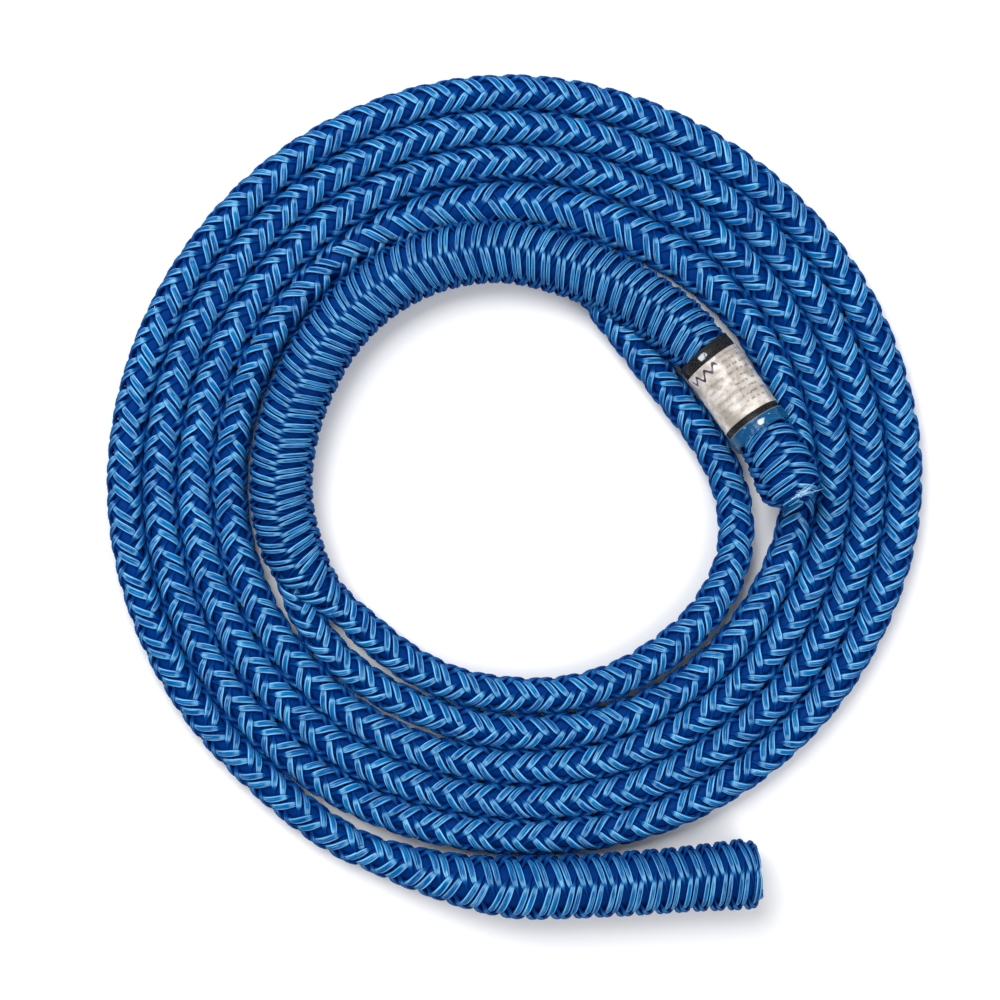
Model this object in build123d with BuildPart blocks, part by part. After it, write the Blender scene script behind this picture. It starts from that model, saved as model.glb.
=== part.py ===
"""A coiled 12-strand rope with a slipping eye: one rope, laid flat as it is stored.

The rope starts at a short labelled end, runs as a thick hollow cover over its own inner
leg, becomes the eye, goes back in at the crotch, comes out again, winds four turns
outwards and ends in a blunt back splice. Millimetres, +Z up, the rope lies on Z = 0, and
the origin is under the middle of the whole part.
"""

import os
from math import cos, radians, sin, tan

from build123d import *

os.makedirs("parts", exist_ok=True)

# Driving dimensions
ROPE = 16.0  # diameter of the plain rope
BURY = 30.0  # the rope swollen over a buried leg
LABEL_CORE = 26.0  # the swollen rope squeezed under the label
END_KNOB = 31.0  # rounded tip of the labelled end
BLUNT_END = 34.0  # tip of the back splice
TURN_GAP = 0.4  # between one turn and the next
TURNS = 4
REST_FLAT = 0.4  # depth of the flat where the plain rope lies on the ground
CLEARANCE = 0.3  # round anything that passes through the hollow braid
TAIL = 15.0  # diameter of the tails tucked into the two ends
SLEEVE_WALL = 0.4  # black sleeve under the label
LABEL_WALL = 0.3
FILM_WALL = 0.3  # clear shrink film over the label
FILM_GAP = 0.1  # between the sleeve, the label and the film
LABEL_LENGTH = 32.0
BAND_ABOVE = 6.4  # black sleeve showing above the label
BAND_BELOW = 3.7  # black sleeve showing below the label
FILM_BELOW = 6.3  # film past the black sleeve, towards the tip
FILM_FROM_TIP = 34.0  # along the rope, from the tip to the film's lower edge
TIP_ROUND = 6.0  # rounding at the blunt end
END_WALL = 10.0  # solid braid at a closed end
THROAT = 26.0  # length over which the swollen cover closes down to the eye's leg
SPLICE_TAPER = 70.0  # length over which the back splice swells from the plain rope
SPLICE_TAIL_LENGTH = 105.0

# Heights of the rope's centre line
LOW = ROPE / 2 - REST_FLAT  # plain rope, pressed a little flat
LAID = ROPE / 2  # plain rope that only touches the ground
THICK = BURY / 2

COIL_STEP = ROPE + TURN_GAP  # from one turn to the next
SPREAD = ROPE / 16.0  # a thicker rope makes a wider coil

# The innermost turn of the coil, as radii every 30 degrees, beginning at the bottom (270
# degrees) and going counter-clockwise: the rope steps outwards over the lower right.
INNER_TURN = (111.7, 120.0, 128.5, 137.8, 137.8, 137.3, 138.8, 136.4, 132.3, 131.0, 128.3, 127.5)
TURN_ANGLE = 360 / len(INNER_TURN)
CORNER_OUT = 1 / cos(radians(TURN_ANGLE / 2))  # a corner stands out this much past its arc


def corner(angle, radius, height):
    """A corner of the route, from its angle and radius about the middle of the coil."""
    radius *= SPREAD
    return Vector(radius * cos(radians(angle)), radius * sin(radians(angle)), height)


# Corners of the route, in order along the rope: angle, radius, height
LABELLED_END = [
    Vector(131.6, -4.5, 31.5) * SPREAD,
    Vector(127.5, 13.5, 30.5) * SPREAD,
    Vector(115.0, 34.0, 24.0) * SPREAD,
    Vector(89.0, 71.5, 16.5) * SPREAD,
]
COVER = [
    corner(60, 109.6, THICK),
    corner(75, 110.0, THICK),
    corner(90, 113.4, THICK),
    corner(105, 114.3, THICK),
    corner(120, 113.8, THICK),
    corner(135, 111.9, THICK),
    corner(150, 108.9, THICK),
    corner(165, 107.6, THICK),
    corner(180, 107.1, THICK),
    corner(194, 105.4, THICK),
]
EYE = [
    corner(205, 100.9, THICK - 0.5),
    corner(216, 94.5, LAID),
    corner(228, 92.9, LAID),
    corner(241, 93.4, LAID),
    corner(255, 94.7, LAID),
    corner(270, 95.7, LAID),
    corner(285, 99.2, LAID),
    corner(300, 102.7, LAID),
    corner(315, 106.1, LAID),
    corner(330, 110.5, LAID),
    corner(345, 111.8, LAID),
    corner(0, 106.2, LAID),
    corner(15, 97.2, LAID),
    corner(30, 90.0, LAID),
    corner(45, 90.2, LAID),
    corner(58, 95.0, LAID + 1.5),
]
CORE = [
    corner(70, 104.5, THICK - 2),
    corner(82, 111.0, THICK),
    corner(95, 113.8, THICK),
] + COVER[3:9] + [corner(194, 107.0, THICK - 1)]
LEAD = [
    corner(205, 110.2, THICK - 3.5),
    corner(216, 112.5, LAID + 0.5),
    corner(228, 112.3, LOW),
    corner(245, 111.6, LOW),
]
OUTWARD = (TURNS - 1) * COIL_STEP / SPREAD  # from the innermost turn to the outermost
BACK_SPLICE = [
    corner(255.14, 133.30 + OUTWARD, ROPE / 2 + 2.8),
    corner(268.83, 136.24 + OUTWARD, THICK),
    corner(283.23, 139.61 + OUTWARD, THICK),
    corner(296.59, 152.31 + OUTWARD, BLUNT_END / 2 - 1),
    corner(303.17, 162.98 + OUTWARD, BLUNT_END / 2),
]


def coil_turn(number):
    """Corners of one turn; number 4 is the innermost and number 1 the outermost."""
    out = (TURNS - number) * COIL_STEP / SPREAD
    last = len(INNER_TURN)
    return [
        corner(270 + TURN_ANGLE * step, (INNER_TURN[step] + out) * CORNER_OUT, LOW)
        for step in range(last)
    ]


stretches = {"labelled_end": LABELLED_END, "cover": COVER, "eye": EYE, "core": CORE, "lead": LEAD}
for number in range(TURNS, 0, -1):
    stretches[f"coil_turn_{number}"] = coil_turn(number)
stretches["back_splice"] = BACK_SPLICE

rope_route = []
span = {}
for name, corners in stretches.items():
    span[name] = (len(rope_route), len(rope_route) + len(corners) - 1)
    rope_route += corners

# Each bend is as large as its two runs allow.
RUN_SHARE = 0.45
bends = [0.0]
for before, here, after in zip(rope_route, rope_route[1:], rope_route[2:]):
    run_in = here - before
    run_out = after - here
    half_turn = radians(run_in.get_angle(run_out)) / 2
    bends.append(RUN_SHARE * min(run_in.length, run_out.length) / tan(half_turn))
bends.append(0.0)


def path_points(first, last):
    """The corners first to last with the middle of the run at either side of them."""
    ends = [rope_route[0], rope_route[-1]]
    if first > 0:
        ends[0] = (rope_route[first - 1] + rope_route[first]) * 0.5
    else:
        first = 1
    if last < len(rope_route) - 1:
        ends[1] = (rope_route[last] + rope_route[last + 1]) * 0.5
    else:
        last -= 1
    return [ends[0], *rope_route[first : last + 1], ends[1]], bends[first : last + 1]


def centre_line(first, last):
    """Straight runs joined by tangent arcs, along a stretch of the rope."""
    points, radii = path_points(first, last)
    with BuildLine() as line:
        FilletPolyline(*points, radius=radii)
    return line.wire()


def between(path, start, end):
    """The part of a path from one length along it to another."""
    return path.trim(start / path.length, end / path.length)


def tube(path, diameter, bore=0.0, flat=0.0):
    """A tube along a path, flat along its underside where it lies on the ground."""
    heading = path % 0
    across = Plane(origin=path @ 0, x_dir=heading.cross(Vector(0, 0, 1)), z_dir=heading)
    with BuildPart() as run:
        with BuildSketch(across) as section:
            Circle(diameter / 2)
            if bore:
                Circle(bore / 2, mode=Mode.SUBTRACT)
            if flat:
                with Locations((0, -diameter if across.y_dir.Z > 0 else diameter)):
                    Rectangle(2 * diameter, diameter + 2 * flat, mode=Mode.SUBTRACT)
        sweep(path=path)
    swept = section.sketch.area * path.length
    print(f"  tube {run.part.volume:.0f} mm3, section times length {swept:.0f} mm3")
    return run.part


def tapered(path, stations):
    """A round solid along a path, through (length along it, diameter) stations."""
    with BuildPart() as body:
        for length, diameter in stations:
            share = length / path.length
            with BuildSketch(Plane(origin=path @ share, z_dir=path % share)):
                Circle(diameter / 2)
        loft()
    return body.part


paths = {name: centre_line(*ends) for name, ends in span.items()}
for name, (first, last) in span.items():
    tightest = min(bend for bend in bends[first : last + 1] if bend)
    print(f"{name}: {paths[name].length:.0f} mm long, tightest bend {tightest:.0f} mm")
print(f"whole rope: {sum(path.length for path in paths.values()):.0f} mm")

# Whatever passes through the hollow braid: the eye's leg, the core and the start of the lead
leg_end = span["eye"][1]
lead_start = span["lead"][0]
passage = tube(centre_line(leg_end - 2, lead_start + 2), ROPE + 2 * CLEARANCE)

# The swollen cover, which closes down at its throat to become the eye's leg
throat_length = THROAT * SPREAD
throat = between(paths["eye"], 0, throat_length)
throat_stations = [(0, BURY), (throat_length / 2, (BURY + ROPE) / 2), (throat_length, ROPE)]
with BuildPart() as bury_cover:
    add(tube(paths["cover"], BURY))
    add(tapered(throat, throat_stations))
    add(passage, mode=Mode.SUBTRACT)

with BuildPart() as eye_leg:
    add(tube(between(paths["eye"], throat_length, paths["eye"].length), ROPE))

with BuildPart() as buried_core:
    add(tube(paths["core"], ROPE))

with BuildPart() as splice_lead:
    add(tube(paths["lead"], ROPE, flat=REST_FLAT))

# The labelled end: squeezed under its label, with a knob of folded braid at the tip
end_path = paths["labelled_end"]
film_end = FILM_FROM_TIP + FILM_BELOW + BAND_BELOW + LABEL_LENGTH + BAND_ABOVE
with BuildPart() as labelled_end_cover:
    add(tube(between(end_path, END_KNOB / 2, end_path.length), LABEL_CORE))
    add(tube(between(end_path, film_end + CLEARANCE, end_path.length), BURY))
    with Locations(end_path @ (END_KNOB / 2 / end_path.length)):
        Sphere(END_KNOB / 2)
    bore_path = between(end_path, END_WALL, end_path.length)
    add(tube(bore_path, TAIL + 2 * CLEARANCE), mode=Mode.SUBTRACT)
    add(passage, mode=Mode.SUBTRACT)

with BuildPart() as labelled_end_tail:
    add(tube(between(end_path, END_WALL + CLEARANCE, end_path.length), TAIL))

# Black sleeve, label and clear film, one round the other
sleeve_start = FILM_FROM_TIP + FILM_BELOW
label_start = sleeve_start + BAND_BELOW
sleeve_bore = LABEL_CORE + 2 * FILM_GAP
label_bore = sleeve_bore + 2 * (SLEEVE_WALL + FILM_GAP)
film_bore = label_bore + 2 * (LABEL_WALL + FILM_GAP)
with BuildPart() as black_sleeve:
    sleeve_path = between(end_path, sleeve_start, film_end)
    add(tube(sleeve_path, sleeve_bore + 2 * SLEEVE_WALL, sleeve_bore))

with BuildPart() as label_wrap:
    label_path = between(end_path, label_start, label_start + LABEL_LENGTH)
    add(tube(label_path, label_bore + 2 * LABEL_WALL, label_bore))

with BuildPart() as clear_film:
    film_path = between(end_path, FILM_FROM_TIP, film_end)
    add(tube(film_path, film_bore + 2 * FILM_WALL, film_bore))

# The back splice: the rope swells over its own tail and ends in a blunt, rounded tip
splice_path = paths["back_splice"]
splice_stations = [
    (0, ROPE),
    (SPLICE_TAPER / 2, (ROPE + BURY) / 2),
    (SPLICE_TAPER, BURY),
    (splice_path.length - BLUNT_END, BURY),
    (splice_path.length, BLUNT_END),
]
tail_start = splice_path.length - END_WALL - SPLICE_TAIL_LENGTH
with BuildPart() as back_splice_cover:
    add(tapered(splice_path, splice_stations))
    fillet(back_splice_cover.faces().sort_by(Axis.X)[-1].edges(), TIP_ROUND)
    hollow = between(splice_path, tail_start - CLEARANCE, splice_path.length - END_WALL)
    add(tube(hollow, TAIL + 2 * CLEARANCE), mode=Mode.SUBTRACT)

with BuildPart() as back_splice_tail:
    tail_end = splice_path.length - END_WALL - CLEARANCE
    add(tube(between(splice_path, tail_start, tail_end), TAIL))

pieces = {
    "labelled_end_cover": labelled_end_cover.part,
    "labelled_end_tail": labelled_end_tail.part,
    "black_sleeve": black_sleeve.part,
    "label_wrap": label_wrap.part,
    "clear_film": clear_film.part,
    "bury_cover": bury_cover.part,
    "eye_leg": eye_leg.part,
    "buried_core": buried_core.part,
    "splice_lead": splice_lead.part,
    "back_splice_cover": back_splice_cover.part,
    "back_splice_tail": back_splice_tail.part,
}

# The turns of the coil, from the innermost to the outermost
for number in range(TURNS, 0, -1):
    with BuildPart() as turn:
        add(tube(paths[f"coil_turn_{number}"], ROPE, flat=REST_FLAT))
    pieces[f"coil_turn_{number}"] = turn.part

# The origin goes under the middle of the whole part.
boxes = [piece.bounding_box() for piece in pieces.values()]
middle_x = (min(box.min.X for box in boxes) + max(box.max.X for box in boxes)) / 2
middle_y = (min(box.min.Y for box in boxes) + max(box.max.Y for box in boxes)) / 2
print(f"middle of the part from the middle of the coil: {middle_x:.2f}, {middle_y:.2f} mm")
for name, piece in pieces.items():
    placed = piece.moved(Location((-middle_x, -middle_y, 0)))
    placed.label = name
    export_step(placed, f"parts/{name}.step")
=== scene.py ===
# %% [markdown]
# # A coiled mooring rope with a slipping spliced eye
#
# The object is one hollow rope, braided from twelve strands, and laid in a flat coil. Part of it
# runs inside itself, which makes an eye that can be set to any size. This lesson loads the CAD
# model as a fixed frame, lays one smooth line along the whole rope, and braids every strand
# round that line in mesh code. A braid could be a picture on a tube, but its strands show in
# the outline, in the shadows and at the cut ends, so here each strand is real geometry.

import math

import bpy
import numpy as np
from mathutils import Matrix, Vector


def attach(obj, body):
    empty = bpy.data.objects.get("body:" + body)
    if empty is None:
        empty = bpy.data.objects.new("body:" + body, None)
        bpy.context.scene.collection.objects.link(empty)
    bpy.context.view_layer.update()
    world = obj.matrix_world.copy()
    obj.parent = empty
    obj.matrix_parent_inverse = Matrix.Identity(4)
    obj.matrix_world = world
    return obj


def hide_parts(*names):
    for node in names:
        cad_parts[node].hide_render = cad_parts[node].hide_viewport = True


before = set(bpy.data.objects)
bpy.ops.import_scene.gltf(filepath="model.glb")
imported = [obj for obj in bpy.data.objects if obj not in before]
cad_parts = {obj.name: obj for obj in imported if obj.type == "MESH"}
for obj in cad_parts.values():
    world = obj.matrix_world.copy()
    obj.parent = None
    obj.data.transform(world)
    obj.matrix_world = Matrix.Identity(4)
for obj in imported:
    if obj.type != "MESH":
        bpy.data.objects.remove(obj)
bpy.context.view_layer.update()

MM = 0.001

# %% [markdown]
# ## The camera
#
# A rope catalogue shows a coil from straight above. A long lens, well back, keeps the coil
# round: a short one would lean the thick splice outwards over its neighbours.

# %% Camera
COIL_MIDDLE = Vector((-3.06, 2.67, 0)) * MM  # where the coil's middle is in the frame
CAMERA_OFF = Vector((-3.8, -3.8, 8)) * MM  # the camera looks down a little off that middle
VIEW_WIDTH = 470 * MM
LENS = 85
SENSOR = 36
camera_data = bpy.data.cameras.new("overhead")
camera_data.lens = LENS
camera_data.sensor_width = SENSOR
camera = bpy.data.objects.new("overhead", camera_data)
bpy.context.scene.collection.objects.link(camera)
camera.location = COIL_MIDDLE + CAMERA_OFF
camera.location.z += VIEW_WIDTH * LENS / SENSOR
bpy.context.scene.camera = camera
print("camera height", round(camera.location.z, 3))

# %% [markdown]
# ## The route of the rope
#
# These corners repeat the CAD model's, in millimetres, in order along the rope from the labelled
# tip to the blunt end. Three of the labelled end's stand up to 2 mm nearer the eye, which closes
# a gap beside the label. The rest of the loose part is the list of the CAD model, whose radii
# were measured and then moved a little for clearance, and a loop works out the coil's turns from
# the innermost one. The corners control a smooth line, which passes a little inside them.

# %% Route
ROPE = 16.0
BURY = 30.0
LABEL_CORE = 26.0
END_KNOB = 31.0
BLUNT_END = 34.0
LOW = 7.6  # height of the plain rope's middle, pressed a little flat
LAID = 8.0
THICK = 15.0
COIL_STEP = 16.4
TURNS = 4
INNER_TURN = (111.7, 120.0, 128.5, 137.8, 137.8, 137.3, 138.8, 136.4, 132.3, 131.0, 128.3, 127.5)
TURN_ANGLE = 360 / len(INNER_TURN)
CORNER_OUT = 1 / math.cos(math.radians(TURN_ANGLE / 2))


def corner(angle, radius, height):
    """A corner of the route, from its angle and radius about the middle of the coil."""
    turn = math.radians(angle)
    return Vector((radius * math.cos(turn), radius * math.sin(turn), height))


LABELLED_END = [
    Vector((131.6, -4.5, 31.5)),
    Vector((126.9, 13.2, 30.5)),
    Vector((113.4, 32.9, 24.0)),
    Vector((88.0, 70.9, 16.5)),
]
COVER = [
    corner(60, 109.6, THICK),
    corner(75, 110.0, THICK),
    corner(90, 113.4, THICK),
    corner(105, 114.3, THICK),
    corner(120, 113.8, THICK),
    corner(135, 111.9, THICK),
    corner(150, 108.9, THICK),
    corner(165, 107.6, THICK),
    corner(180, 107.1, THICK),
    corner(194, 105.4, THICK),
]
EYE = [
    corner(205, 100.9, THICK - 0.5),
    corner(216, 94.5, LAID),
    corner(228, 92.9, LAID),
    corner(241, 93.4, LAID),
    corner(255, 94.7, LAID),
    corner(270, 95.7, LAID),
    corner(285, 99.2, LAID),
    corner(300, 102.7, LAID),
    corner(315, 106.1, LAID),
    corner(330, 110.5, LAID),
    corner(345, 111.8, LAID),
    corner(0, 106.2, LAID),
    corner(15, 97.2, LAID),
    corner(30, 90.0, LAID),
    corner(45, 90.2, LAID),
    corner(58, 95.0, LAID + 1.5),
]
CORE = [
    corner(70, 104.5, THICK - 2),
    corner(82, 111.0, THICK),
    corner(95, 113.8, THICK),
] + COVER[3:9] + [corner(194, 107.0, THICK - 1)]
LEAD = [
    corner(205, 110.2, THICK - 3.5),
    corner(216, 112.5, LAID + 0.5),
    corner(228, 112.3, LOW),
    corner(245, 111.6, LOW),
]
OUTWARD = (TURNS - 1) * COIL_STEP  # from the innermost turn to the outermost
BACK_SPLICE = [
    corner(255.14, 133.30 + OUTWARD, 10.8),
    corner(268.83, 136.24 + OUTWARD, THICK),
    corner(283.23, 139.61 + OUTWARD, THICK),
    corner(296.59, 152.31 + OUTWARD, BLUNT_END / 2 - 1),
    corner(303.17, 162.98 + OUTWARD, BLUNT_END / 2),
]


def coil_turn(number):
    """Corners of one turn; number 4 is the innermost and number 1 the outermost."""
    out = (TURNS - number) * COIL_STEP
    return [
        corner(270 + TURN_ANGLE * step, (radius + out) * CORNER_OUT, LOW)
        for step, radius in enumerate(INNER_TURN)
    ]


stretches = {"labelled_end": LABELLED_END, "cover": COVER, "eye": EYE, "core": CORE, "lead": LEAD}
for number in range(TURNS, 0, -1):
    stretches[f"coil_turn_{number}"] = coil_turn(number)
stretches["back_splice"] = BACK_SPLICE
route = [COIL_MIDDLE + point * MM for points in stretches.values() for point in points]
print("route of", len(route), "corners")

# %% [markdown]
# ## One smooth line along the rope
#
# A NURBS line of order 3 touches the middle of every run between two corners, and bends
# smoothly in between, as rope does. It is read back as points, and spaced evenly, so that a
# place on the rope is simply a length from its labelled tip. At each place the rope also needs
# its own directions: ahead, up and to the right.

# %% Centre line
SPACING = 0.5 * MM
LINE_DETAIL = 24  # points read between two corners
SEARCH = 4000  # places looked through for a stretch's start, more than any stretch has


def smooth_line(points):
    """Points read along the smooth line that the corners control."""
    data = bpy.data.curves.new("route", "CURVE")
    data.dimensions = "3D"
    data.resolution_u = LINE_DETAIL
    spline = data.splines.new("NURBS")
    spline.points.add(len(points) - 1)
    for knot, point in zip(spline.points, points):
        knot.co = (*point, 1)
    spline.order_u = 3
    spline.use_endpoint_u = True
    holder = bpy.data.objects.new("route", data)
    mesh = bpy.data.meshes.new_from_object(holder)
    line = np.zeros(len(mesh.vertices) * 3)
    mesh.vertices.foreach_get("co", line)
    bpy.data.objects.remove(holder)
    bpy.data.curves.remove(data)
    bpy.data.meshes.remove(mesh)
    return line.reshape(-1, 3)


def unit(vectors):
    """Vectors of length one."""
    return vectors / np.linalg.norm(vectors, axis=-1, keepdims=True)


read = smooth_line(route)
steps = np.linalg.norm(np.diff(read, axis=0), axis=1)
read_at = np.concatenate([[0], np.cumsum(steps)])
ROPE_LENGTH = read_at[-1]
line_at = np.linspace(0, ROPE_LENGTH, int(ROPE_LENGTH / SPACING) + 1)
line = np.stack([np.interp(line_at, read_at, read[:, axis]) for axis in range(3)], axis=1)
line_ahead = unit(np.gradient(line, axis=0))
upright = np.array([0.0, 0.0, 1.0])
line_up = unit(upright - line_ahead * line_ahead[:, 2:])
print("rope of", round(ROPE_LENGTH, 3), "m")


def along(values, at):
    """Values that are known at every place of the line, at the places asked for."""
    return np.stack([np.interp(at, line_at, values[:, axis]) for axis in range(3)], axis=-1)


place = {}
index = 0
for name, points in stretches.items():
    start = index
    index += len(points)
    if start == 0:
        place[name] = 0.0
        continue
    middle = np.array((route[start - 1] + route[start]) / 2)
    done = max(place.values()) / SPACING
    ahead = slice(int(done) + 1, int(done) + SEARCH)
    nearest = np.argmin(np.linalg.norm(line[ahead] - middle, axis=1))
    place[name] = line_at[ahead][nearest]
place["end"] = ROPE_LENGTH
print({name: round(at, 3) for name, at in place.items()})

# %% [markdown]
# ## How thick the rope is, and how tightly it is laid
#
# A hollow braid works like a finger trap. Where it is stuffed with a second rope it gets
# thicker and shorter, so its strands lie almost across it. These two profiles are the braid's
# outer radius and its lay, which is the length in which a strand goes once round.

# %% Profiles
THROAT = 26 * MM
FILM_START = 34 * MM
FILM_BELOW = 6.3 * MM
BAND_BELOW = 3.7 * MM
LABEL_LENGTH = 32 * MM
BAND_ABOVE = 6.4 * MM
COVER_LAY, EYE_LAY, COIL_LAY = 22, 42, 46
SOFT_REACH = 14 * MM  # the profiles' corners are rounded over this length
FILM_END = FILM_START + FILM_BELOW + BAND_BELOW + LABEL_LENGTH + BAND_ABOVE
throat_at = place["eye"] + THROAT
splice_at = place["back_splice"]
END = ROPE_LENGTH

# Place, outer radius in mm, lay in mm
PROFILE = [
    (0, END_KNOB / 2, 27),
    (22 * MM, END_KNOB / 2 - 0.3, 27),
    (FILM_START, LABEL_CORE / 2 + 0.3, 26),
    (FILM_START + 8 * MM, LABEL_CORE / 2 - 0.5, 26),
    (FILM_END - 2 * MM, LABEL_CORE / 2 - 0.3, 25),
    (FILM_END + 9 * MM, BURY / 2, 24),
    (place["cover"] + 20 * MM, BURY / 2, COVER_LAY),
    (place["eye"] - 6 * MM, BURY / 2, COVER_LAY),
    (place["eye"] + 8 * MM, BURY / 2 - 3, 28),
    (throat_at, ROPE / 2, 38),
    (throat_at + 30 * MM, ROPE / 2, EYE_LAY),
    (place["lead"], ROPE / 2, EYE_LAY),
    (place["coil_turn_4"], ROPE / 2, COIL_LAY),
    (splice_at, ROPE / 2, COIL_LAY),
    (splice_at + 35 * MM, 11.0, 41),
    (splice_at + 75 * MM, BURY / 2, 33),
    (END - 34 * MM, BURY / 2 + 0.3, 25),
    (END, BLUNT_END / 2, 22),
]
profile_at, profile_radius, profile_lay = np.array(PROFILE).T


def softened(values, reach):
    """Values along the line with their corners rounded over a reach."""
    width = int(reach / SPACING)
    padded = np.pad(values, width, mode="edge")
    return np.convolve(padded, np.ones(width) / width, mode="same")[width:-width]


outer_radius = softened(np.interp(line_at, profile_at, profile_radius * MM), SOFT_REACH)
lay = softened(np.interp(line_at, profile_at, profile_lay * MM), SOFT_REACH)
twist = np.concatenate([[0], np.cumsum(2 * math.pi * SPACING / lay[:-1])])

# The V of the braid faces up, and wanders a little to either side.
DRIFT = math.radians(7)
SLOW_DRIFT, QUICK_DRIFT = 0.19, 0.083  # metres along the rope for one radian
drift = np.sin(line_at / SLOW_DRIFT + 0.6) + 0.7 * np.sin(line_at / QUICK_DRIFT + 2.1)
drift = DRIFT * drift

# Twice the rope turns on itself as it lies, and the V's on top then point the other way: by a
# whole column of the braid late in the innermost turn, and by most of one on the left of the
# outermost turn.
inner_length = place["coil_turn_3"] - place["coil_turn_4"]
outer_length = splice_at - place["coil_turn_1"]
for middle_at, reach, degrees in (
    (place["coil_turn_4"] + 0.62 * inner_length, 110 * MM, 60),
    (place["coil_turn_1"] + 0.78 * outer_length, 240 * MM, 44),
):
    drift = drift + math.radians(degrees) * np.clip((line_at - middle_at) / reach + 0.5, 0, 1)

# Neighbouring turns press each other a little wide, and so does the eye's leg. The innermost
# turn leans on the thick cover, and is pressed flatter there and moved towards the cover.
COIL_WIDE = 1.12
LEAN_WIDE = 0.40
LEAN_ANGLES = (36, 62, 100, 132)  # degrees round the coil: begins, is full, fades, is gone
LEAN_SHIFT = 6  # mm towards the cover, times the widening
PRESS_REACH = 12 * MM
round_coil = np.degrees(np.arctan2(line[:, 1] - COIL_MIDDLE.y, line[:, 0] - COIL_MIDDLE.x))
leaning = np.interp(round_coil, LEAN_ANGLES, (0, 1, 1, 0), left=0, right=0)
leaning *= (line_at > place["coil_turn_4"]) & (line_at < place["coil_turn_3"])
in_coil = (line_at > place["coil_turn_4"]) & (line_at < splice_at)
in_coil |= (line_at > throat_at + PRESS_REACH) & (line_at < place["core"])
widening = softened(1 + (COIL_WIDE - 1) * in_coil + LEAN_WIDE * leaning, PRESS_REACH)
lean_by = softened(LEAN_WIDE * leaning, PRESS_REACH) * LEAN_SHIFT * MM
print("rope turned and pressed, at most", round(lean_by.max() / MM, 1), "mm to the side")

# %% [markdown]
# ## The braid
#
# Six strands go one way round and six the other way, and they go in pairs: each pair goes
# over one pair and under the next, in step with its neighbours. So the floats stand in six
# columns along the rope, and two columns that meet make a V. A strand's distance from the
# middle is a wave of three periods a turn, flattened at its crests. The wave follows the
# strand's own angle, so both strands of a pair dive on the same straight line along the rope.
#
# At an end where the braid is turned into itself, the strands roll over a lip and go back
# inside. So a strand doesn't follow the rope's length itself but a profile: a straight stretch
# and, at such an end, two arcs and a short way back.

# %% Braid
PAIRS = 3  # each way
WAVE = 0.9 * MM  # how far a strand goes out and in
STRAND_HEIGHT = 1.05 * MM
FLATNESS = 2.0
SMOOTHER_SIDES = 0.45  # how much of a hollow is filled at the rope's sides
SPREAD_OUT = 0.10  # the columns on top are this much wider than those at the sides
# Half the distance between a pair's strands and half a strand's width, in pair spacings,
# where the rope is tightly laid and where it is loosely laid
TIGHT, LOOSE = 22 * MM, 46 * MM
STRAND_APART = (0.168, 0.178)
STRAND_WIDTH = (0.138, 0.172)
WIDTH_MIDWAY, WIDTH_CHANGE = 0.74, 0.28  # a strand is wider on top than where it dives
TURNED_IN = 9 * MM  # how far the strands go back inside
LEAST_RADIUS = 3 * MM  # for the strands' spacing where they close up
LINING_BELOW = 0.1  # shares of a strand's height between the lining and the strands
LEAST_LINING = 0.2 * MM
# How unevenly the strands lie: by how much, and over what length in metres
PAIR_STRAYS = (math.radians(2.5), 0.11)
STRAND_STRAYS = (math.radians(2.0), 0.06)
UNEVEN_WAVE = (0.10, 0.07)
UNEVEN_WIDTH = (0.10, 0.05)
UNEVEN_HEIGHT = (0.07, 0.04)
# For the UV map: about a strand's girth, and the corner that all the end faces share
YARN_GIRTH = 10 * MM
CAP_CORNER = 0.0005


def wander(rng, at, amount, wave_length):
    """A slow random wave along the rope, up to about an amount either way."""
    phases = rng.uniform(0, 2 * math.pi, 3)
    sizes = (0.5, 0.3, 0.2)
    return amount * sum(
        size * np.sin(at * 2 * math.pi * (order + 1) / wave_length + phase)
        for order, (size, phase) in enumerate(zip(sizes, phases))
    )


def profile_of(start, end, step, lip):
    """Place, radius, outward direction (ahead, out) and turn at each ring of a stretch.

    A lip is where the braid turns into itself: (side, outer rounding, inner rounding), with
    side -1 before the start and 1 after the end.
    """
    count = max(2, int(round((end - start) / step)) + 1)
    at = np.linspace(start, end, count)
    inset = WAVE + STRAND_HEIGHT
    radius = np.interp(at, line_at, outer_radius) - inset
    slope = np.gradient(radius, at)
    out = unit(np.stack([-slope, np.ones(count)], axis=1))
    turned = np.interp(at, line_at, twist)
    if not lip:
        return at, radius, out, turned
    side, outer, inner = lip
    last = -1 if side > 0 else 0
    quarter = math.pi / 2
    far = quarter * (outer + inner)
    arc = np.arange(step, far + TURNED_IN, step)
    bend = np.where(arc < quarter * outer, arc / outer, quarter + (arc - quarter * outer) / inner)
    bend = np.minimum(bend, math.pi)
    round_by = np.where(bend < quarter, outer, inner)
    back = np.maximum(arc - far, 0)
    arc_at = at[last] + side * (outer + round_by * (np.sin(bend) - 1) - back)
    arc_radius = radius[last] - outer + round_by * np.cos(bend)
    arc_out = np.stack([side * np.sin(bend), np.cos(bend)], axis=1)
    lay_here = np.interp(at[last], line_at, lay)
    arc_turned = turned[last] + side * arc * 2 * math.pi / lay_here
    lines = ((at, arc_at), (radius, arc_radius), (out, arc_out), (turned, arc_turned))
    if side > 0:
        return tuple(np.concatenate([here, more]) for here, more in lines)
    return tuple(np.concatenate([more[::-1], here]) for here, more in lines)


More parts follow.
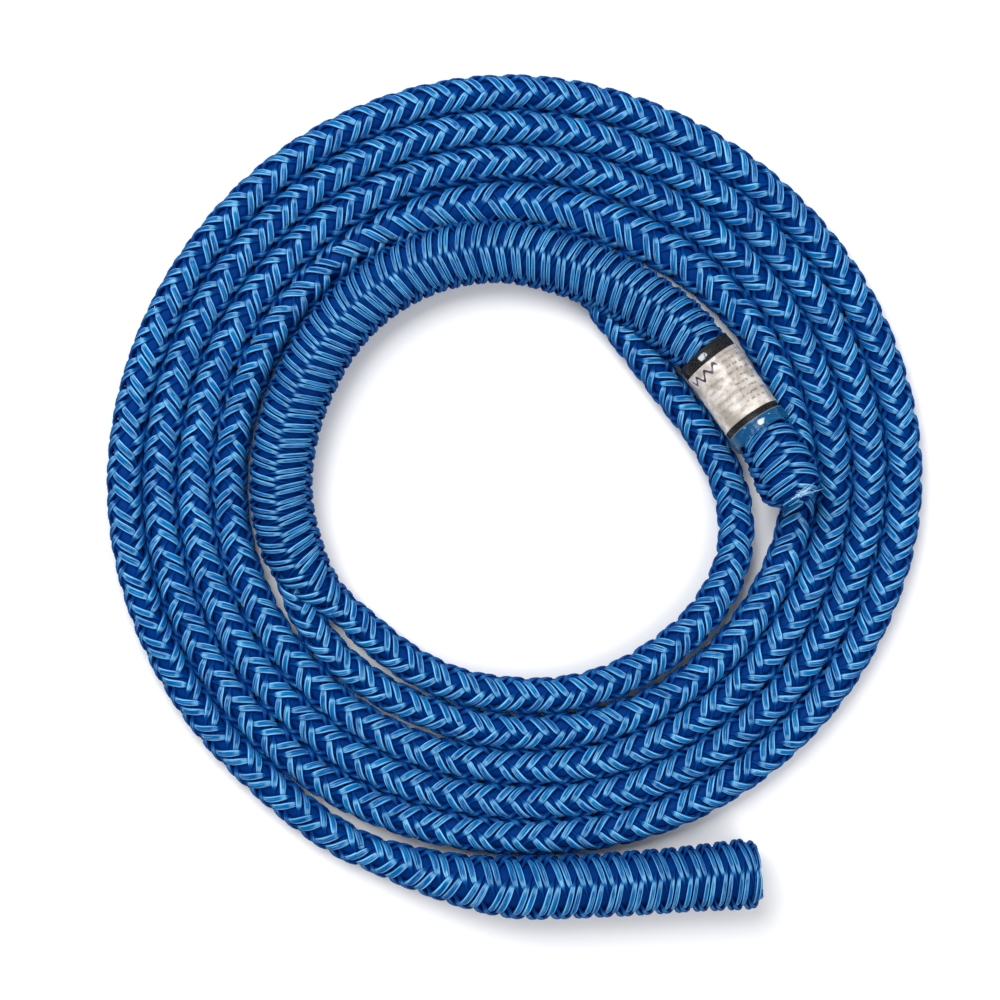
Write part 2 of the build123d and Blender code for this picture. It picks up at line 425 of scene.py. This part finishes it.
def strands(start, end, step, sides, lip, seed):
    """Vertices and pattern values of every strand: arrays of strand, ring and side."""
    at, radius, out, turned = profile_of(start, end, step, lip)
    inside = np.clip(at, 0, ROPE_LENGTH)
    ahead = unit(along(line_ahead, inside))
    up = unit(along(line_up, inside))
    right = np.cross(ahead, up)
    wide = np.interp(inside, line_at, widening)[:, None]
    lean = np.interp(inside, line_at, lean_by)[:, None]
    tall = 1 / (1 + lean * 2 / (ROPE * MM))
    middle = along(line, inside) + ahead * (at - inside)[:, None] - right * lean
    middle = middle - up * (1 - tall) * ROPE / 2 * MM
    swing = np.interp(inside, line_at, drift)
    lay_here = np.interp(inside, line_at, lay)
    around = np.linspace(0, 2 * math.pi, sides, endpoint=False)
    rng = np.random.default_rng(seed)
    found = {"point": [], "along": [], "across": [], "lift": [], "tone": [], "top": []}

    def keep(centre, beside, normal, width, height, lift, tone, across, top):
        ring = (
            centre[:, None]
            + beside[:, None] * (width[:, None] * np.sin(around))[..., None]
            + normal[:, None] * (height[:, None] * np.cos(around))[..., None]
        )
        steps = np.linalg.norm(np.diff(centre, axis=0), axis=1)
        length = np.concatenate([[0], np.cumsum(steps)])
        shape = ring.shape[:2]
        found["point"].append(ring)
        found["along"].append(np.broadcast_to(length[:, None], shape))
        found["across"].append(np.broadcast_to(across, shape))
        found["lift"].append(np.broadcast_to(lift[:, None], shape))
        found["tone"].append(np.full(shape, tone))
        found["top"].append(np.broadcast_to(top[:, None], shape))

    for way in (1, -1):
        for number in range(PAIRS):
            column = 180 / PAIRS
            first = math.radians(2 * column * number + (0 if way > 0 else column))
            angle = first + way * turned + wander(rng, at, *PAIR_STRAYS)
            girth = 2 * math.pi * np.maximum(radius, LEAST_RADIUS)
            apart = lay_here / PAIRS * girth / np.sqrt(girth**2 + lay_here**2)
            tight_apart, tight_width = (
                np.interp(lay_here, (TIGHT, LOOSE), pair) for pair in (STRAND_APART, STRAND_WIDTH)
            )
            for side in (-1, 1):
                # The pair's strands lie side by side, and both dive on the same line.
                own = angle + way * side * tight_apart * 2 * math.pi / PAIRS
                own = own + wander(rng, at, *STRAND_STRAYS)
                wave = np.tanh(FLATNESS * np.sin(PAIRS * own)) / math.tanh(FLATNESS)
                lift = -way * wave
                turn = own + swing
                turn = turn + SPREAD_OUT * np.sin(2 * turn)
                over, beyond = np.cos(turn)[:, None], np.sin(turn)[:, None]
                radial = over * up * tall + beyond * right * wide
                normal = unit(over * up / tall + beyond * right / wide)
                normal = normal * out[:, 1:] + ahead * out[:, :1]
                height = WAVE * lift * (1 + wander(rng, at, *UNEVEN_WAVE))
                # At the rope's sides the hollows are shallower, so the outline is smooth.
                height = height + SMOOTHER_SIDES * beyond[:, 0] ** 4 * (WAVE - height)
                strand = middle + radial * radius[:, None] + normal * height[:, None]
                heading = unit(np.gradient(strand, axis=0))
                normal = unit(normal - heading * np.sum(normal * heading, axis=1, keepdims=True))
                beside = np.cross(heading, normal)
                fat = 1 + wander(rng, at, *UNEVEN_WIDTH)
                width = tight_width * apart * fat * (WIDTH_MIDWAY + WIDTH_CHANGE * lift)
                high = STRAND_HEIGHT * (1 + wander(rng, at, *UNEVEN_HEIGHT))
                tone = rng.uniform(0, 1)
                across = np.sin(around) * side
                keep(strand, beside, normal, width, high, lift, tone, across, over[:, 0])

    # A dark lining closes the hollows between the strands; its dark colour is painted shade.
    lining = np.maximum(radius - WAVE - LINING_BELOW * STRAND_HEIGHT, LEAST_LINING)
    low = np.full_like(at, -1.0)
    keep(middle, right * wide, up * tall, lining, lining, low, 0.5, np.ones(sides), -low)
    return {name: np.stack(values) for name, values in found.items()}


def braid(name, start, end, step, sides=11, lip=None, seed=1):
    """A mesh of all the strands along a stretch of the rope."""
    made = strands(start, end, step, sides, lip, seed)
    count, rings, sides, _ = made["point"].shape
    points = made["point"].reshape(-1, 3)
    points[:, 2] = np.maximum(points[:, 2], 0.0)

    number = np.arange(count * rings * sides).reshape(count, rings, sides)
    near = number[:, :-1]
    far = number[:, 1:]
    quads = np.stack([near, np.roll(near, -1, 2), np.roll(far, -1, 2), far], axis=-1)
    caps = np.concatenate([number[:, 0, ::-1], number[:, -1]])
    corners = np.concatenate([quads.reshape(-1), caps.reshape(-1)])
    quad_count = quads.size // 4
    starts = np.concatenate(
        [np.arange(quad_count) * 4, quad_count * 4 + np.arange(len(caps)) * sides]
    )

    mesh = bpy.data.meshes.new(name)
    mesh.vertices.add(len(points))
    mesh.vertices.foreach_set("co", points.ravel())
    mesh.loops.add(len(corners))
    mesh.loops.foreach_set("vertex_index", corners.astype(np.int32))
    mesh.polygons.add(len(starts))
    mesh.polygons.foreach_set("loop_start", starts.astype(np.int32))
    mesh.update(calc_edges=True)
    mesh.polygons.foreach_set("use_smooth", np.ones(len(starts), bool))
    for label in ("along", "across", "lift", "tone", "top"):
        layer = mesh.attributes.new(label, "FLOAT", "POINT")
        layer.data.foreach_set("value", made[label].astype(np.float32).ravel())
    strip_map(mesh, count, rings, sides, step)
    piece = bpy.data.objects.new(name, mesh)
    bpy.context.scene.collection.objects.link(piece)
    return piece


def strip_map(mesh, count, rings, sides, step):
    """A UV map that unrolls each yarn, and folds the strips into a square."""
    long = rings - 1
    face_width = YARN_GIRTH / sides
    folds = max(1, round(math.sqrt(long * step / (count * (sides + 1) * face_width))))
    per_row = math.ceil(long / folds)
    ring, side = np.meshgrid(np.arange(long), np.arange(sides), indexing="ij")
    column = ring % per_row
    row = ring // per_row
    u = np.stack([column, column, column + 1, column + 1], -1) / per_row
    v_inside = np.stack([side, side + 1, side + 1, side], -1)
    uv = []
    rows = count * folds
    for yarn in range(count):
        v = ((yarn * folds + row)[..., None] * (sides + 1) + v_inside + 0.5) / (rows * (sides + 1))
        uv.append(np.stack([u, v], -1).reshape(-1, 2))
    caps = np.full((2 * count * sides, 2), CAP_CORNER)
    layer = mesh.uv_layers.new(name="OFBake")
    layer.data.foreach_set("uv", np.concatenate(uv + [caps]).astype(np.float32).ravel())


# %% [markdown]
# ## Shader maths as plain expressions
#
# Each material is a small sum. A socket is wrapped, so that the usual operators add the Math
# nodes, and the pattern reads like arithmetic.


# %% Socket maths
def feed(tree, socket, value):
    """Links a signal into a socket, or sets the socket's own value."""
    if isinstance(value, Signal):
        tree.links.new(value.socket, socket)
    else:
        socket.default_value = value


class Signal:
    """A socket of a node tree that can be added, multiplied and compared."""

    def __init__(self, tree, socket):
        self.tree = tree
        self.socket = socket

    def math(self, operation, *others, clamp=False):
        node = self.tree.nodes.new("ShaderNodeMath")
        node.operation = operation
        node.use_clamp = clamp
        for socket, value in zip(node.inputs, (self, *others)):
            feed(self.tree, socket, value)
        return Signal(self.tree, node.outputs[0])

    def __add__(self, other):
        return self.math("ADD", other)

    def __sub__(self, other):
        return self.math("SUBTRACT", other)

    def __mul__(self, other):
        return self.math("MULTIPLY", other)

    def __truediv__(self, other):
        return self.math("DIVIDE", other)

    def __rsub__(self, other):
        return self.math("MULTIPLY", -1.0) + other

    __radd__ = __add__
    __rmul__ = __mul__

    def absolute(self):
        return self.math("ABSOLUTE")

    def step_up(self, low, high):
        """0 below low and 1 above high, smooth between."""
        node = self.tree.nodes.new("ShaderNodeMapRange")
        node.interpolation_type = "SMOOTHSTEP"
        self.tree.links.new(self.socket, node.inputs["Value"])
        node.inputs["From Min"].default_value = low
        node.inputs["From Max"].default_value = high
        return Signal(self.tree, node.outputs["Result"])

    def window(self, rise, fall):
        """1 between a rise and a fall, each from low to high, and 0 outside them."""
        return self.step_up(*rise) * (1 - self.step_up(*fall))


def linear(*colour):
    """A colour as the eye names it, 0 to 255, as the shader wants it."""
    parts = [part / 255 for part in colour]
    return tuple(p / 12.92 if p <= 0.04045 else ((p + 0.055) / 1.055) ** 2.4 for p in parts) + (1,)


class Finish:
    """A material with one Principled shader, and short ways to add nodes to it."""

    def __init__(self, name):
        self.material = bpy.data.materials.new(name)
        self.material.use_nodes = True
        self.tree = self.material.node_tree
        self.shader = self.tree.nodes["Principled BSDF"]

    def node(self, kind, settings=(), output=0, **values):
        made = self.tree.nodes.new(kind)
        for key, value in dict(settings).items():
            setattr(made, key, value)
        for key, value in values.items():
            feed(self.tree, made.inputs[key.replace("_", " ")], value)
        return Signal(self.tree, made.outputs[output])

    def attribute(self, name):
        return self.node("ShaderNodeAttribute", {"attribute_name": name}, output="Fac")

    def vector(self, x, y, z):
        return self.node("ShaderNodeCombineXYZ", X=x, Y=y, Z=z)

    def noise(self, vector, scale, detail=2.0):
        return self.node("ShaderNodeTexNoise", Vector=vector, Scale=scale, Detail=detail)

    def place(self):
        return self.node("ShaderNodeTexCoord", output="Object")

    def mix(self, share, first, second, blend="MIX"):
        made = self.tree.nodes.new("ShaderNodeMix")
        made.data_type = "RGBA"
        made.blend_type = blend
        for number, value in ((0, share), (6, first), (7, second)):
            feed(self.tree, made.inputs[number], value)
        return Signal(self.tree, made.outputs[2])

    def set(self, **values):
        for key, value in values.items():
            feed(self.tree, self.shader.inputs[key.replace("_", " ")], value)

    def bump(self, height, strength, distance):
        made = self.node("ShaderNodeBump", Strength=strength, Distance=distance, Height=height)
        self.set(Normal=made)


# %% [markdown]
# ## The rope's finish
#
# The fibre is coated, so it is glossy and a little waxy. Two pale outlines run along both sides of
# each yarn; they are painted highlights, with clear mid-blue between. The deep blue in the
# hollows, under crossing strands and on the rope's sides is painted shade. The pattern follows the
# yarn, because each yarn knows how far along and across it is.

# %% Rope finish
DEEP_BLUE = linear(0, 62, 130)
CLEAR_BLUE = linear(0, 104, 166)
PALE_HIGHLIGHT = linear(132, 200, 238)
SIDE_SHADE_BLUE = linear(0, 46, 118)
EDGE_SHADE_BLUE = linear(0, 44, 112)
HOLLOW_SHADE_BLUE = linear(0, 50, 120)


def rope_finish(name, light=1.0):
    """The coated fibre, with painted highlights and painted shade; light scales the painted
    highlights.
    """
    finish = Finish(name)
    along_strand = finish.attribute("along")
    across = finish.attribute("across")
    lift = finish.attribute("lift")
    tone = finish.attribute("tone")
    top = finish.attribute("top")
    fibres = finish.noise(finish.vector(along_strand * 110, across * 5.5, tone * 61), 1.0, 3.0)
    patches = finish.noise(finish.vector(along_strand * 70, across * 0.8, tone * 23), 1.0, 2.0)
    side = across.absolute()
    rim = (0.80, 0.94)
    # Painted highlights: pale outlines along each yarn's edges and across its dives, and pale
    # fibre streaks.
    outline_highlight = side.window((0.50, 0.68), rim)
    thread_highlight = fibres.step_up(0.56, 0.66) * (1 - side.step_up(0.55, 0.75)) * 0.6
    dive = lift.window((-0.1, 0.35), (0.55, 0.9))
    outline_highlight = outline_highlight.math("MAXIMUM", dive * (1 - side.step_up(*rim)) * 0.45)
    shine = (outline_highlight * (patches * 1.9 - 0.2) + thread_highlight) * lift.step_up(-0.3, 0.4)
    # The painted highlights fade where a strand faces sideways, away from the light above.
    shine = shine * (0.12 + top.step_up(0.2, 0.95) * 0.82)
    shine = shine.math("MULTIPLY", light, clamp=True)
    body = finish.mix(patches.step_up(0.3, 0.7), DEEP_BLUE, CLEAR_BLUE)
    # The painted highlights turn the yarn pale.
    body = finish.mix(shine, body, PALE_HIGHLIGHT)
    # Painted shade: strands on the rope's sides, facing away from the top, are darker.
    shaded = finish.mix(0.6, body, SIDE_SHADE_BLUE)
    body = finish.mix(top.step_up(0.1, 0.85), shaded, body)
    # Painted shade along both edges of each strand, in the crevices between strands.
    edge_shade = side.step_up(0.80, 0.98)
    body = finish.mix(edge_shade, body, EDGE_SHADE_BLUE)
    # Painted shade where a strand dives under its neighbours, and on the lining.
    body = finish.mix(1 - lift.step_up(-0.8, 0.25), body, HOLLOW_SHADE_BLUE)
    finish.set(Base_Color=body, Roughness=0.38 + fibres * 0.25)
    finish.set(IOR=1.45, Specular_IOR_Level=0.03)
    finish.bump(fibres, 0.5, 0.25 * MM)
    return finish.material


blue_rope = rope_finish("blue_rope")
buried_rope = rope_finish("buried_rope", 0.7)
print("finishes", blue_rope.name, "and", buried_rope.name)

# %% [markdown]
# ## Braid every stretch
#
# Each stretch of the rope is one piece, as in the CAD model, and stands for the plain tube
# there. The buried leg can't be seen, so it has larger steps.

# %% Rope pieces
def dress(piece, material):
    """Gives a piece its finish and lets it ride with the rope."""
    piece.data.materials.append(material)
    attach(piece, "root")
    return piece


PATH_STEP = 4 * MM


def path_between(start, end):
    """Points of the strands' own middle along a stretch."""
    count = max(8, int((end - start) / PATH_STEP))
    at = np.linspace(start, end, count + 1)
    right = np.cross(unit(along(line_ahead, at)), unit(along(line_up, at)))
    return (along(line, at) - right * np.interp(at, line_at, lean_by)[:, None]).tolist()


# At which end, outer rounding, inner rounding
TIP_ROUNDING = (-1, 9.5 * MM, 2.6 * MM)
BLUNT_ROUNDING = (1, 5.6 * MM, 5.2 * MM)
tip_at, blunt_at = TIP_ROUNDING[1], END - BLUNT_ROUNDING[1]

labelled_end = braid("labelled_end", tip_at, place["cover"], 0.6 * MM, lip=TIP_ROUNDING, seed=1)
dress(labelled_end, blue_rope)
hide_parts("labelled_end_cover", "labelled_end_tail")

back_splice = braid("back_splice", splice_at, blunt_at, 0.8 * MM, lip=BLUNT_ROUNDING, seed=2)
dress(back_splice, blue_rope)
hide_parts("back_splice_cover", "back_splice_tail")

STRETCHES = [
    # Piece, its CAD node, start, end, diameter, step in mm, sides, how it lies
    ("cover", "bury_cover", place["cover"], throat_at, BURY, 0.6, 12, "coiled"),
    ("eye_loop", "eye_leg", throat_at, place["core"], ROPE, 1.4, 12, "coiled"),
    ("buried_leg", "buried_core", place["core"], place["lead"], ROPE, 4.0, 7, "coiled"),
    ("lead", "splice_lead", place["lead"], place["coil_turn_4"], ROPE, 1.4, 12, "loose"),
    ("turn_4", "coil_turn_4", place["coil_turn_4"], place["coil_turn_3"], ROPE, 1.5, 12, "coiled"),
    ("turn_3", "coil_turn_3", place["coil_turn_3"], place["coil_turn_2"], ROPE, 1.6, 12, "coiled"),
    ("turn_2", "coil_turn_2", place["coil_turn_2"], place["coil_turn_1"], ROPE, 1.8, 12, "coiled"),
    ("turn_1", "coil_turn_1", place["coil_turn_1"], place["back_splice"], ROPE, 1.9, 12, "coiled"),
]
ropes = {"back_splice": (back_splice, splice_at, END, BURY, "coiled")}
for index, (name, node, start, end, diameter, step, sides, laid) in enumerate(STRETCHES):
    piece = braid(name, start, end, step * MM, sides, seed=10 + index)
    hidden = node == "buried_core"
    material, slot = (buried_rope, "buried_rope") if hidden else (blue_rope, "blue_rope")
    dress(piece, material)
    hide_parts(node)
    ropes[name] = (piece, start, end, diameter, laid)
print("braided", len(ropes) + 1, "pieces")

# %% [markdown]
# ## The label, its sleeve and the clear film
#
# A black sleeve is shrunk round the rope, a paper label goes round that, and clear film is
# shrunk over both. Each is a thin closed tube round the same line as the rope. They follow the
# strands below a little, and the film wrinkles at its ends. Their patterns use a distance
# around the rope from its top, and a distance along it.


# %% Wraps
WRAP_STEP = 0.5 * MM
STRANDS_SHOW = 0.12 * MM  # how far the strands below push a wrap out and in
CREASE_REACH = 3 * MM  # how far the wrinkles run in from an end
CREASES = 19  # round an end
SKIN_SHARE = 0.49  # of the UV map's width, for the outside, and as much for the inside


def wrap(name, start, end, radius, wall, wrinkle=0.0, sides=144):
    """A thin closed sleeve round the labelled end; radius is its outside."""
    rings = int((end - start) / WRAP_STEP) + 1
    at = np.linspace(start, end, rings)
    angle = np.linspace(0, 2 * math.pi, sides, endpoint=False)
    middle = along(line, at)
    ahead = unit(along(line_ahead, at))
    up = unit(along(line_up, at))
    right = np.cross(ahead, up)
    wound = np.interp(at, line_at, twist)[:, None]
    from_end = np.minimum(at - start, end - at)[:, None]
    diamonds = np.sin(PAIRS * (angle + wound)) * np.sin(PAIRS * (angle - wound))
    creases = np.sin(CREASES * angle + 3 * np.sin(4 * angle)) * np.exp(-from_end / CREASE_REACH)
    outside = radius + STRANDS_SHOW * diamonds + wrinkle * creases
    radial = np.cos(angle)[:, None] * up[:, None] + np.sin(angle)[:, None] * right[:, None]
    skins = [middle[:, None] + radial * (outside - inset)[..., None] for inset in (0, wall)]
    points = np.stack(skins).reshape(-1, 3)

    number = np.arange(2 * rings * sides).reshape(2, rings, sides)
    after = np.roll(number, -1, 2)
    outer = np.stack([number[0, :-1], after[0, :-1], after[0, 1:], number[0, 1:]], -1)
    inner = np.stack([number[1, 1:], after[1, 1:], after[1, :-1], number[1, :-1]], -1)
    first = np.stack([number[1, 0], after[1, 0], after[0, 0], number[0, 0]], -1)
    last = np.stack([number[0, -1], after[0, -1], after[1, -1], number[1, -1]], -1)
    faces = np.concatenate([part.reshape(-1, 4) for part in (outer, inner, first, last)])
    mesh = bpy.data.meshes.new(name)
    mesh.from_pydata(points.tolist(), [], faces.tolist())
    mesh.polygons.foreach_set("use_smooth", np.ones(len(faces), bool))
    signed = np.where(angle > math.pi, angle - 2 * math.pi, angle)
    round_mm = np.broadcast_to(signed * radius / MM, (2, rings, sides))
    along_mm = np.broadcast_to(((at - start) / MM)[:, None], (2, rings, sides))
    for label, values in (("around", round_mm), ("along", along_mm)):
        layer = mesh.attributes.new(label, "FLOAT", "POINT")
        layer.data.foreach_set("value", values.astype(np.float32).ravel())
    share = (at - start) / (end - start)
    column = faces % sides
    closing = (column == 0) & (column.max(1, keepdims=True) == sides - 1)
    column = np.where(closing, sides, column)
    u = share[faces // sides % rings] * SKIN_SHARE + np.where(faces >= rings * sides, 0.5, 0)
    layer = mesh.uv_layers.new(name="OFBake")
    layer.data.foreach_set("uv", np.stack([u, column / sides], -1).astype(np.float32).ravel())
    mesh.update()
    piece = bpy.data.objects.new(name, mesh)
    bpy.context.scene.collection.objects.link(piece)
    return piece


SLEEVE_AT = FILM_START + FILM_BELOW
LABEL_AT = SLEEVE_AT + BAND_BELOW
sleeve = wrap("sleeve", SLEEVE_AT, FILM_END, 13.7 * MM, 0.35 * MM)
label = wrap("label", LABEL_AT, LABEL_AT + LABEL_LENGTH, 14.1 * MM, 0.25 * MM)
film = wrap("film", FILM_START, FILM_END, 14.45 * MM, 0.2 * MM, wrinkle=0.16 * MM)
print("sleeve, label and film from", round(FILM_START / MM), "to", round(FILM_END / MM), "mm")

# %% [markdown]
# ## Finishes of the wraps
#
# The label's printing is only suggested: soft grey dashes stand for its small text, and a plain
# navy wave for its mark. The film is nearly clear over the label. Past the sleeve it clings to
# the rope, where it looks teal, with a few white glints.

# %% Wrap finishes
sleeve_finish = Finish("black_shrink")
dust = sleeve_finish.noise(sleeve_finish.place(), 900, 3.0)
black = sleeve_finish.mix(dust.step_up(0.45, 0.75), linear(3, 3, 5), linear(16, 16, 20))
sleeve_finish.set(Base_Color=black)
sleeve_finish.set(Roughness=0.3 + dust * 0.2, Specular_IOR_Level=0.12)
sleeve_finish.bump(dust, 0.3, 0.15 * MM)

# Places on the label, in mm to the right of the top of the rope and down from its upper edge,
# each as where a shape begins to show and where it shows in full
ROW = 3.15  # from one line of small print to the next
RIGHT_BLOCK = ((0.5, 1.5), (17, 18))
LEFT_BLOCK = ((-13, -12), (-2.5, -1.5))
LEFT_BLOCK_TOP = (8, 9)
PRINTED = ((1.2, 1.8), (29, 30))
MARK_WIDTH = ((-17.5, -17), (-0.4, 0.2))
MARK_DOWN = 4.4
label_finish = Finish("label_stock")
around = label_finish.attribute("around")
down = LABEL_LENGTH / MM - label_finish.attribute("along")
row = (down / ROW).math("FLOOR")
within = (down / ROW).math("FRACT")
bar = within.window((0.22, 0.34), (0.60, 0.72))
word = label_finish.noise(label_finish.vector(around * 0.42, row * 9.1, 3.0), 1.0, 0.0)
letter = label_finish.noise(label_finish.vector(around * 2.1, down * 1.4, row * 3.3), 1.0, 1.0)
right_block = around.window(*RIGHT_BLOCK)
left_block = around.window(*LEFT_BLOCK) * down.step_up(*LEFT_BLOCK_TOP) * 0.6
ink = bar * word.step_up(0.40, 0.46) * letter.step_up(0.38, 0.52) * (right_block + left_block)
ink = ink * down.window(*PRINTED) * 0.75
wave = MARK_DOWN + (around * 1.15).math("SINE") * 1.7 + (around * 0.5).math("SINE") * 0.6
near_wave = (down - wave).absolute()
mark = (1 - near_wave.step_up(0.75, 1.05)) * around.window(*MARK_WIDTH)
stock = label_finish.noise(label_finish.place(), 160, 4.0)
paper = label_finish.mix(stock.step_up(0.35, 0.68), linear(158, 148, 139), linear(214, 206, 197))
paper = label_finish.mix(ink, paper, linear(92, 84, 78))
paper = label_finish.mix(mark, paper, linear(22, 20, 62))
label_finish.set(Base_Color=paper, Roughness=0.35 + stock * 0.15)
label_finish.set(Coat_Weight=0.5, Coat_Roughness=0.15)
label_finish.bump(stock, 0.35, 0.2 * MM)

HAZE = 0.006  # how much of the clear film shows over the label
GLINTS = ((1.0, 3.4), (-3.0, 45.2))  # mm around and along
film_finish = Finish("clear_shrink")
around = film_finish.attribute("around")
up_rope = film_finish.attribute("along")
below = 1 - up_rope.step_up(FILM_BELOW / MM - 0.1, FILM_BELOW / MM + 0.5)
streaks = film_finish.noise(film_finish.vector(around * 0.34, up_rope * 0.30, 0.0), 1.0, 3.0)
glint = streaks.step_up(0.64, 0.72) * below * 0.6
for middle_round, middle_along in GLINTS:
    away_round = (around - middle_round) * 0.45 + (streaks - 0.5) * 3
    away_along = (up_rope - middle_along) * 0.6
    away = (away_round * away_round + away_along * away_along).math("SQRT")
    glint = glint.math("MAXIMUM", 1 - away.step_up(0.45, 1.1))
tint = film_finish.mix(below, linear(235, 240, 244), linear(6, 88, 138))
film_finish.set(Base_Color=film_finish.mix(glint, tint, linear(214, 226, 240)))
film_finish.set(Alpha=HAZE + below * 0.5 + glint * 0.55, Roughness=0.12 + streaks * 0.1)
film_finish.set(Specular_IOR_Level=0.3)

for piece, finish, slot, node in (
    (sleeve, sleeve_finish, "black_shrink", "black_sleeve"),
    (label, label_finish, "label_stock", "label_wrap"),
    (film, film_finish, "clear_shrink", "clear_film"),
):
    dress(piece, finish.material)
    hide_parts(node)
    print(piece.name, "stands for", node)

# %% [markdown]
# ## Loose fibres
#
# A few cut yarns stand out of the folded braid at the labelled tip. Each is a thin curved tube.

# %% Loose fibres
rng = np.random.default_rng(77)
FIBRES = 14
FIBRE_RINGS, FIBRE_SIDES = 13, 5
FIBRE_ROOT = Vector((128.0, 0.6, 45.2)) * MM
FIBRE_TIP = Vector((135.0, 4.6, 44.0)) * MM
ROOT_SPREAD = (1.1 * MM, 1.1 * MM, 0.8 * MM)
TIP_SPREAD = (1.4 * MM, 1.2 * MM, 0.9 * MM)
BOW = 1.4  # mm, how far a fibre's middle strays
RISE = 1.2 * MM
THIN, THICK_FIBRE = 0.14, 0.26  # mm, radius at the root
share = np.linspace(0, 1, FIBRE_RINGS)[:, None]
turn = np.linspace(0, 2 * math.pi, FIBRE_SIDES, endpoint=False)
tube_points, tube_faces = [], []
for number in range(FIBRES):
    root = np.array(FIBRE_ROOT) + rng.normal(0, 1, 3) * ROOT_SPREAD
    tip = np.array(FIBRE_TIP) + rng.normal(0, 1, 3) * TIP_SPREAD
    bow = (root + tip) / 2 + rng.normal(0, 1, 3) * BOW * MM + np.array((0, 0, RISE))
    middle = (1 - share) ** 2 * root + 2 * share * (1 - share) * bow + share**2 * tip
    heading = unit(np.gradient(middle, axis=0))
    beside = unit(np.cross(heading, upright))
    above = np.cross(beside, heading)
    thick = rng.uniform(THIN, THICK_FIBRE) * MM * (1 - 0.6 * share)[:, None]
    ring = middle[:, None] + thick * (
        np.cos(turn)[:, None] * above[:, None] + np.sin(turn)[:, None] * beside[:, None]
    )
    first = len(tube_points)
    last = first + (FIBRE_RINGS - 1) * FIBRE_SIDES
    tube_points += ring.reshape(-1, 3).tolist()
    for ring_at in range(first, last, FIBRE_SIDES):
        for side in range(FIBRE_SIDES):
            here, after = ring_at + side, ring_at + (side + 1) % FIBRE_SIDES
            tube_faces.append((here, here + FIBRE_SIDES, after + FIBRE_SIDES, after))
    tube_faces.append(tuple(first + side for side in range(FIBRE_SIDES)))
    tube_faces.append(tuple(last + side for side in reversed(range(FIBRE_SIDES))))
fibre_mesh = bpy.data.meshes.new("loose_fibres")
fibre_mesh.from_pydata(tube_points, [], tube_faces)
loose_fibres = bpy.data.objects.new("loose_fibres", fibre_mesh)
bpy.context.scene.collection.objects.link(loose_fibres)
fibre_finish = Finish("blue_fibre")
pale = fibre_finish.noise(fibre_finish.place(), 300, 2.0).step_up(0.35, 0.65)
fibre_finish.set(Base_Color=fibre_finish.mix(pale, linear(70, 140, 190), linear(170, 208, 232)))
fibre_finish.set(Roughness=0.45 + pale * 0.1)
dress(loose_fibres, fibre_finish.material)
print(FIBRES, "fibres,", len(tube_faces), "faces")

# %% Sizes of the rope pieces
for name, (piece, start, end, diameter, laid) in ropes.items():
    path = path_between(start, end)
    end - start
    diameter * MM
    "knot" if piece == back_splice else "object"
    "stiff" if diameter == BURY else "medium"
    [labelled_end, sleeve, label, film, loose_fibres] if name == "cover" else []
    print(name, round((end - start) * 1000), "mm,", len(piece.data.polygons), "faces")

# %% [markdown]
# ## Floor and light

# %% Stage
FLOOR = 3.0
STUDIO_COLOUR = (0.95, 0.97, 1.0, 1)
STUDIO_STRENGTH = 0.55
floor_corners = [(-FLOOR, -FLOOR, 0), (FLOOR, -FLOOR, 0), (FLOOR, FLOOR, 0), (-FLOOR, FLOOR, 0)]
floor_data = bpy.data.meshes.new("floor")
floor_data.from_pydata(floor_corners, [], [(0, 1, 2, 3)])
floor = bpy.data.objects.new("floor", floor_data)
bpy.context.scene.collection.objects.link(floor)
floor_finish = Finish("floor")
floor_finish.set(Base_Color=linear(240, 240, 241), Roughness=0.7)
floor_data.materials.append(floor_finish.material)


def softbox(name, towards, distance, size, power):
    """A square studio light that looks at the coil from a direction."""
    data = bpy.data.lights.new(name, "AREA")
    data.shape = "SQUARE"
    data.size = size
    data.energy = power
    lamp = bpy.data.objects.new(name, data)
    bpy.context.scene.collection.objects.link(lamp)
    direction = Vector(towards).normalized()
    lamp.location = direction * distance
    lamp.rotation_euler = direction.to_track_quat("Z", "Y").to_euler()
    print("light", name, power, "W")


softbox("key", (-0.35, 0.55, 1.0), 1.6, 1.0, 24)
softbox("fill", (0.7, -0.5, 0.9), 1.8, 1.2, 12)
world = bpy.data.worlds.new("studio")
world.use_nodes = True
world.node_tree.nodes["Background"].inputs["Color"].default_value = STUDIO_COLOUR
world.node_tree.nodes["Background"].inputs["Strength"].default_value = STUDIO_STRENGTH
bpy.context.scene.world = world
bpy.context.scene.view_settings.view_transform = "Standard"
